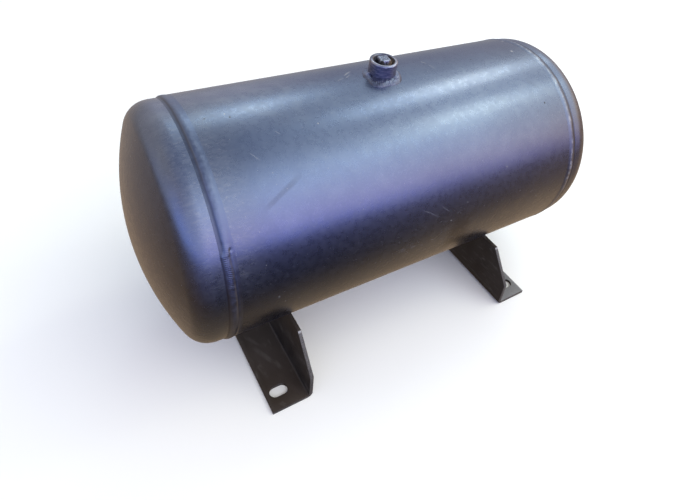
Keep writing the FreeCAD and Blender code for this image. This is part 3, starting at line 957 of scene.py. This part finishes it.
# Where the weld round a boss swells: direction in degrees from the front (-Y) towards the
# left end, extra reach and extra height in millimetres, and the swelling's width in degrees.
PORT_SWELLINGS = (
    (12.0, 1.8, 0.8, 36.0),
    (45.0, 8.0, -0.2, 20.0),
    (92.0, 1.6, 2.0, 14.0),
    (-45.0, 0.6, 1.2, 24.0),
    (-24.0, 1.6, 0.7, 18.0),
    (180.0, 1.5, 0.5, 30.0),
)
DRAIN_SWELLINGS = ((-60.0, 1.8, 0.4, 25.0), (80.0, 1.2, 0.9, 30.0), (200.0, 2.0, 0.3, 22.0))
BOSS_WELD_STEPS = 420
BOSS_WELD_POINTS = 15
BOSS_WELD_HEIGHT = 2.5 * MM
# How much further the hand-laid weld reaches than the CAD fillet, all round.
BOSS_WELD_SPREAD = 1.0 * MM
# How far the bead's root lies under the shell's surface, and its outer edge.
BOSS_WELD_ROOT, BOSS_WELD_EDGE = 1.2 * MM, 0.3 * MM


def degrees_apart(first, second):
    """The smaller angle between two directions, in degrees."""
    return abs((first - second + 180) % 360 - 180)


def boss_weld(name, way, swellings):
    """The hand-laid weld round a boss: a low uneven bead, steeper at the front left."""
    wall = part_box("port_boss")[1].x
    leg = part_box("port_boss_weld")[1].x - wall
    rings = []
    for i in range(BOSS_WELD_STEPS):
        angle = TURN * i / BOSS_WELD_STEPS
        towards = Vector((-math.sin(angle), -math.cos(angle)))
        degrees = math.degrees(angle)
        reach, height = leg + BOSS_WELD_SPREAD, BOSS_WELD_HEIGHT
        steep = 1.7 + 2.0 * bump_at(degrees_apart(degrees, 35), 0, 40)
        for at, extra, lift, width in swellings:
            swelling = bump_at(degrees_apart(degrees, at), 0, width)
            reach += extra * MM * swelling
            height += lift * MM * swelling
        reach *= 1 + 0.13 * rough(towards.x * wall, towards.y * wall, way, 0.006, 1)
        height *= 1 + 0.25 * rough(towards.x * wall, towards.y * wall, way, 0.004, 8)
        ring = []
        for j in range(BOSS_WELD_POINTS):
            t = j / (BOSS_WELD_POINTS - 1)
            x, y = towards * (wall + reach * t)
            ground = math.sqrt(SHELL_R**2 - y * y)
            phase = angle * (wall + leg / 2) / RIPPLE_PITCH + 1.1 * (t - 0.4) ** 2
            lumps = 0.20 * math.cos(TURN * phase) + 0.9 * rough(x, y, way * ground, 0.0038, 2)
            rise = height * (1 - t**steep) + math.sin(math.pi * t**0.75) * lumps * MM
            if j == BOSS_WELD_POINTS - 1:
                rise -= BOSS_WELD_EDGE
            ring.append((x, y, ground + rise))
        for out in (wall + reach + 0.2 * MM, wall - 0.3 * MM):
            x, y = towards * out
            ring.append((x, y, math.sqrt(SHELL_R**2 - y * y) - BOSS_WELD_ROOT))
        rings.append(upright(ring, way))
    make_piece(f"{name}_bead", rings, True, "boss_coating", name, 80)


def rounded_square(half, corner, per_corner):
    """A square outline with round corners, about the origin."""
    outline = []
    for quarter in range(4):
        base = math.pi / 2 * quarter
        centre = Vector((half - corner, half - corner))
        centre.rotate(Matrix.Rotation(base, 2))
        for k in range(per_corner):
            turn = base + math.pi / 2 * k / (per_corner - 1)
            outline.append((centre.x + corner * math.cos(turn), centre.y + corner * math.sin(turn)))
    return outline


PLUG_HEAD = 15.6 * MM
PLUG_HEAD_HEIGHT = 10 * MM
# How much wider the square head is at its foot, and narrower at its top, on each side.
PLUG_DRAFT = 0.7 * MM
PLUG_TURN = math.radians(-5)
PLUG_CORNER = 1.4
PLUG_CORNER_POINTS = 9
PLUG_THREAD_STEPS = 48
PLUG_SIDE_STEPS = 8
# The head's rounded top, in millimetres: the distance in from its side, and down from its top.
PLUG_TOP = ((0.15, 1.4), (0.45, 0.8), (0.95, 0.4), (1.7, 0.15), (3.2, 0.1), (5.4, 0.25))


def plug_circle(radius, height, thread_depth=0.0):
    """A round ring of the plug, cut by its thread."""
    count = 4 * PLUG_CORNER_POINTS
    ring = []
    for i in range(count):
        angle = TURN * i / count
        turns = height / THREAD_PITCH + angle / TURN
        here = radius - thread_depth * abs(2 * (turns % 1) - 1)
        ring.append((here * math.cos(angle), here * math.sin(angle), height))
    return ring


def plug_square(half, corner, height):
    """A square ring of the plug's head, roughly forged."""
    outline = rounded_square(half, corner, PLUG_CORNER_POINTS)
    return [(x, y, height + 0.25 * MM * rough(x, y, height, 0.004, 3)) for x, y in outline]


def plug(name, way):
    """A forged square-headed plug: a slightly tapered head on a threaded body."""
    low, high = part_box("port_plug")
    body_r = high.x
    top = high.z - AXIS_Z
    seat = top - PLUG_HEAD_HEIGHT
    bottom = low.z - AXIS_Z
    run = seat - bottom - 1.4 * MM

    # The threaded body, from the bottom up, and its shoulder.
    rings = [plug_circle(0.5 * MM, bottom), plug_circle(body_r - 1.0 * MM, bottom)]
    for k in range(PLUG_THREAD_STEPS + 1):
        height = bottom + 0.7 * MM + run * k / PLUG_THREAD_STEPS
        rings.append(plug_circle(body_r, height, THREAD_DEPTH * 0.5))
    rings.append(plug_circle(body_r - 0.9 * MM, seat - 0.2 * MM))
    rings.append(plug_circle(body_r - 2.2 * MM, seat + 0.15 * MM))

    # The square head: its flared foot, its sides and its rounded top.
    foot, crown = PLUG_HEAD / 2 + PLUG_DRAFT, PLUG_HEAD / 2 - PLUG_DRAFT
    rings.append(plug_square(foot + 0.6 * MM, 2.4 * MM, seat + 0.35 * MM))
    rings.append(plug_square(foot + 0.1 * MM, 1.6 * MM, seat + 1.1 * MM))
    for k in range(PLUG_SIDE_STEPS + 1):
        share = k / PLUG_SIDE_STEPS
        half = foot + (crown - foot) * share
        rings.append(plug_square(half, PLUG_CORNER * MM, seat + (1.6 + 6.4 * share) * MM))
    for inset, drop in PLUG_TOP:
        corner = max(PLUG_CORNER - inset, 0.15)
        rings.append(plug_square(crown - inset * MM, corner * MM, top - drop * MM))

    turn = Matrix.Rotation(PLUG_TURN, 3, "Z")
    rings = [[tuple(turn @ Vector(point)) for point in ring] for ring in rings]
    rings = [leaned(upright(ring, way), way) for ring in rings]
    make_piece(f"{name}_forged", rings, False, "plug_steel", name, 55)


# ---------------------------------------------------------------- brackets

# The round given to sheared edges, and the angles in degrees that tell an edge from a flat.
EDGE_ROUND = 0.35 * MM
EDGE_SHARPER_THAN = 35
FLAT_WITHIN = 0.5


def bracket(side):
    """The bent plate with its sheared edges rounded, so that they catch the light."""
    node = f"{side}_bracket"
    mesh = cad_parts[node].data.copy()
    work = bmesh.new()
    work.from_mesh(mesh)
    bmesh.ops.remove_doubles(work, verts=work.verts, dist=1e-6)
    bmesh.ops.dissolve_limit(
        work,
        angle_limit=math.radians(FLAT_WITHIN),
        verts=work.verts, edges=work.edges, use_dissolve_boundaries=False,
    )
    least = math.radians(EDGE_SHARPER_THAN)
    sharp = [e for e in work.edges if len(e.link_faces) == 2 and e.calc_face_angle() > least]
    bmesh.ops.bevel(
        work, geom=sharp, offset=EDGE_ROUND, segments=3, profile=0.5, affect="EDGES", clamp_overlap=True
    )
    work.to_mesh(mesh)
    work.free()
    if "custom_normal" in mesh.attributes:
        mesh.attributes.remove(mesh.attributes["custom_normal"])
    finish_piece(f"{side}_bracket_plate", mesh, "bracket_coating", node, 20)


# ---------------------------------------------------------------- shell and floor


def dress_shell():
    """Gives the shell, the one CAD node that stays in view, its finish."""
    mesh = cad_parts["shell"].data
    mesh.materials.clear()
    mesh.materials.append(MATERIALS["tank_coating"])


def make_floor():
    """A plain pale floor. The tank's gloss doesn't mirror it; the studio stands for what it mirrors."""
    size = 14.0
    mesh = bpy.data.meshes.new("floor")
    corners = [(-size, -size, 0), (size, -size, 0), (size, size, 0), (-size, size, 0)]
    mesh.from_pydata(corners, [], [(0, 1, 2, 3)])
    floor = bpy.data.objects.new("floor", mesh)
    bpy.context.scene.collection.objects.link(floor)
    mesh.materials.append(floor_paint())
    floor.visible_glossy = False


# ---------------------------------------------------------------- studio

STUDIO_STRENGTH = 2.7
# The light from each side of the studio: its bearing in degrees from the front towards the
# right end, and its colour on the floor, just below and just above the horizon, low and high.
SIDES = (
    (22, (0.06, 0.06, 0.08), (0.13, 0.14, 0.26), (0.80, 0.95, 2.30), (1.85, 1.72, 2.65), (1.75, 2.05, 2.60)),
    (42, (0.15, 0.11, 0.08), (0.27, 0.21, 0.24), (0.84, 0.76, 1.40), (1.90, 1.66, 1.92), (2.15, 2.60, 3.05)),
    (62, (0.68, 0.47, 0.28), (0.52, 0.34, 0.22), (0.75, 0.42, 0.24), (1.85, 1.42, 0.96), (1.76, 2.08, 2.27)),
    (150, (0.62, 0.46, 0.32), (0.50, 0.52, 0.58), (0.47, 0.49, 0.60), (0.51, 0.53, 0.68), (0.95, 1.12, 1.27)),
    (166, (0.62, 0.46, 0.32), (0.57, 0.58, 0.66), (0.72, 0.73, 0.86), (0.80, 0.81, 0.98), (0.98, 1.12, 1.22)),
    (192, (0.58, 0.42, 0.28), (0.44, 0.41, 0.41), (0.53, 0.51, 0.52), (0.64, 0.62, 0.66), (0.80, 0.84, 0.88)),
    (215, (0.52, 0.36, 0.24), (0.44, 0.40, 0.38), (0.64, 0.63, 0.62), (0.76, 0.72, 0.70), (0.74, 0.74, 0.74)),
    (255, (0.26, 0.17, 0.10), (0.30, 0.25, 0.25), (0.60, 0.66, 0.86), (0.76, 0.78, 0.88), (0.68, 0.66, 0.64)),
    (292, (0.20, 0.13, 0.09), (0.24, 0.21, 0.26), (0.62, 0.84, 1.70), (0.84, 1.06, 1.95), (0.66, 0.66, 0.80)),
    (325, (0.12, 0.09, 0.08), (0.20, 0.20, 0.38), (0.70, 0.84, 1.90), (1.00, 1.15, 1.85), (0.85, 0.95, 1.25)),
)
# The heights of those colours, where -1 is straight down and 1 is straight up.
FLOOR, HORIZON, LOW, HIGH = -0.65, 0.05, 0.25, 0.72
OVERHEAD = (0.40, 0.48, 0.68)
UNDERNEATH = (0.33, 0.24, 0.15)
# What the camera sees behind the tank.
BACKDROP = (0.93, 0.93, 0.93, 1)


def make_world():
    """A soft studio for the tank to mirror: brightest at the front right, brown underneath."""
    world = bpy.data.worlds.new("studio")
    bpy.context.scene.world = world
    world.use_nodes = True
    tree = world.node_tree
    tree.nodes.clear()

    def node(kind, inputs, **settings):
        """A node with its settings made and its inputs linked or set. Gives the node."""
        made = tree.nodes.new(kind)
        for key, value in settings.items():
            setattr(made, key, value)
        for key, value in inputs.items():
            if isinstance(value, bpy.types.NodeSocket):
                tree.links.new(value, made.inputs[key])
            else:
                made.inputs[key].default_value = value
        return made

    direction = node("ShaderNodeTexCoord", {}).outputs["Generated"]
    x, y, z = node("ShaderNodeSeparateXYZ", {0: direction}).outputs
    front = node("ShaderNodeMath", {0: y, 1: -1.0}, operation="MULTIPLY").outputs[0]
    bearing = node("ShaderNodeMath", {0: x, 1: front}, operation="ARCTAN2").outputs[0]
    start = math.radians(SIDES[0][0])
    wrapped = node("ShaderNodeMath", {0: bearing, 1: start + TURN, 2: start}, operation="WRAP").outputs[0]

    def side_light(ground, below, above, low, high):
        """The colour of one side of the studio by height."""
        height = node("ShaderNodeMapRange", {0: z, 1: -1.0, 2: 1.0}).outputs[0]
        ramp = node("ShaderNodeValToRGB", {0: height})
        stops = (
            (-1.0, UNDERNEATH), (FLOOR, ground), (-HORIZON, below), (HORIZON, above),
            (LOW, low), (HIGH, high), (1.0, OVERHEAD),
        )
        elements = ramp.color_ramp.elements
        while len(elements) < len(stops):
            elements.new(0.5)
        for element, (height, colour) in zip(elements, stops):
            element.position = (height + 1) / 2
            element.color = [channel / STUDIO_STRENGTH for channel in colour] + [1]
        return ramp.outputs[0]

    lights = [side_light(*side[1:]) for side in SIDES]
    seen = lights[0]
    bearings = [math.radians(side[0]) for side in SIDES] + [start + TURN]
    for i, light in enumerate(lights[1:] + lights[:1]):
        share = node(
            "ShaderNodeMapRange",
            {0: wrapped, 1: bearings[i], 2: bearings[i + 1]},
            interpolation_type="SMOOTHSTEP",
        ).outputs[0]
        seen = node("ShaderNodeMix", {0: share, 6: seen, 7: light}, data_type="RGBA").outputs[2]
    studio = node("ShaderNodeBackground", {"Color": seen, "Strength": STUDIO_STRENGTH})
    plain = node("ShaderNodeBackground", {"Color": BACKDROP})
    path = node("ShaderNodeLightPath", {})
    shaders = {0: path.outputs["Is Camera Ray"], 1: studio.outputs[0], 2: plain.outputs[0]}
    either = node("ShaderNodeMixShader", shaders)
    node("ShaderNodeOutputWorld", {"Surface": either.outputs[0]})


def strip_light(name, start, end, width, radiance):
    """A long soft light of a colour and strength from one point to another, facing the tank."""
    start, end = Vector(start), Vector(end)
    data = bpy.data.lights.new(name, "AREA")
    data.shape = "RECTANGLE"
    data.size = (end - start).length
    data.size_y = width
    strength = max(radiance)
    data.energy = strength * math.pi * data.size * width
    data.color = [channel / strength for channel in radiance]
    light = bpy.data.objects.new(name, data)
    bpy.context.scene.collection.objects.link(light)
    middle = (start + end) / 2
    along = (end - start).normalized()
    back = middle - CENTRE
    back = (back - along * back.dot(along)).normalized()
    rotation = Matrix((along, back.cross(along), back)).transposed()
    light.matrix_world = Matrix.Translation(middle) @ rotation.to_4x4()
    light.visible_camera = False
    return light


# How high the lamps hang above the tank's axis.
LAMP_HEIGHT = 1.8
# Each lamp: its name, its two ends as (x, y), its width and its radiance.
LAMPS = (
    ("right_strip", (0.80, 0.22), (2.22, 0.86), 0.34, (2.6, 3.3, 3.4)),
    ("right_lamp", (1.30, 0.45), (1.85, 0.70), 0.34, (3.7, 3.2, 1.8)),
    ("front_strip", (1.20, -0.72), (2.20, -0.34), 0.34, (1.2, 1.6, 1.5)),
    ("front_lamp", (1.30, -0.67), (1.85, -0.47), 0.34, (3.6, 3.6, 2.5)),
    ("front_glow", (1.05, -1.15), (1.75, -0.95), 0.45, (1.1, 1.4, 1.2)),
    ("left_strip", (0.12, 1.40), (0.92, 1.76), 0.60, (0.95, 1.45, 1.8)),
    ("left_lamp", (0.38, 1.43), (0.70, 1.58), 0.34, (3.0, 3.1, 2.5)),
    ("key", (-0.9, -1.1), (1.1, -0.9), 2.0, (1.3, 1.15, 0.85)),
)


def make_lights():
    """Lamps overhead, which draw the pale streaks along the tank, and a soft key it doesn't mirror."""
    top = AXIS_Z + LAMP_HEIGHT
    for name, start, end, width, radiance in LAMPS:
        light = strip_light(name, (*start, top), (*end, top), width, radiance)
        light.visible_glossy = name != "key"


# The camera's direction, in degrees: its azimuth from the front towards the right end, its
# elevation and its roll. Then its distance and what it looks at, in metres.
CAMERA_AZIMUTH, CAMERA_ELEVATION, CAMERA_ROLL = -37.23, 37.98, 8.384
CAMERA_DISTANCE = 0.8015
CAMERA_TARGET = CENTRE + Vector((0.01627, 0, -0.02952))
CAMERA_LENS, CAMERA_SENSOR = 27.66, 36
CAMERA_SHIFT = (-0.0371, -0.0985)


def make_camera():
    """Looks down on the tank from the front left, slightly rolled."""
    azimuth, elevation, roll = map(math.radians, (CAMERA_AZIMUTH, CAMERA_ELEVATION, CAMERA_ROLL))
    back = Vector((
        math.sin(azimuth) * math.cos(elevation),
        -math.cos(azimuth) * math.cos(elevation),
        math.sin(elevation),
    ))
    level_right = Vector((0, 0, 1)).cross(back).normalized()
    level_up = back.cross(level_right)
    right = level_right * math.cos(roll) + level_up * math.sin(roll)
    up = level_up * math.cos(roll) - level_right * math.sin(roll)
    data = bpy.data.cameras.new("camera")
    data.sensor_width = CAMERA_SENSOR
    data.lens = CAMERA_LENS
    data.shift_x, data.shift_y = CAMERA_SHIFT
    data.clip_start = 0.01
    camera = bpy.data.objects.new("camera", data)
    bpy.context.scene.collection.objects.link(camera)
    rotation = Matrix((right, up, back)).transposed()
    camera.matrix_world = Matrix.Translation(CAMERA_TARGET + back * CAMERA_DISTANCE) @ rotation.to_4x4()
    bpy.context.scene.camera = camera


dress_shell()
seam_weld()
for side in ("left", "right"):
    head(side)
    girth_weld(side)
    bracket(side)
    for face in ("inner", "outer"):
        bracket_weld(side, face)
for name, way, swellings in (("port", 1, PORT_SWELLINGS), ("drain", -1, DRAIN_SWELLINGS)):
    boss(f"{name}_boss", way)
    boss_weld(f"{name}_boss_weld", way, swellings)
    plug(f"{name}_plug", way)
make_floor()
make_world()
make_lights()
make_camera()
bpy.context.scene.view_settings.view_transform = "Standard"
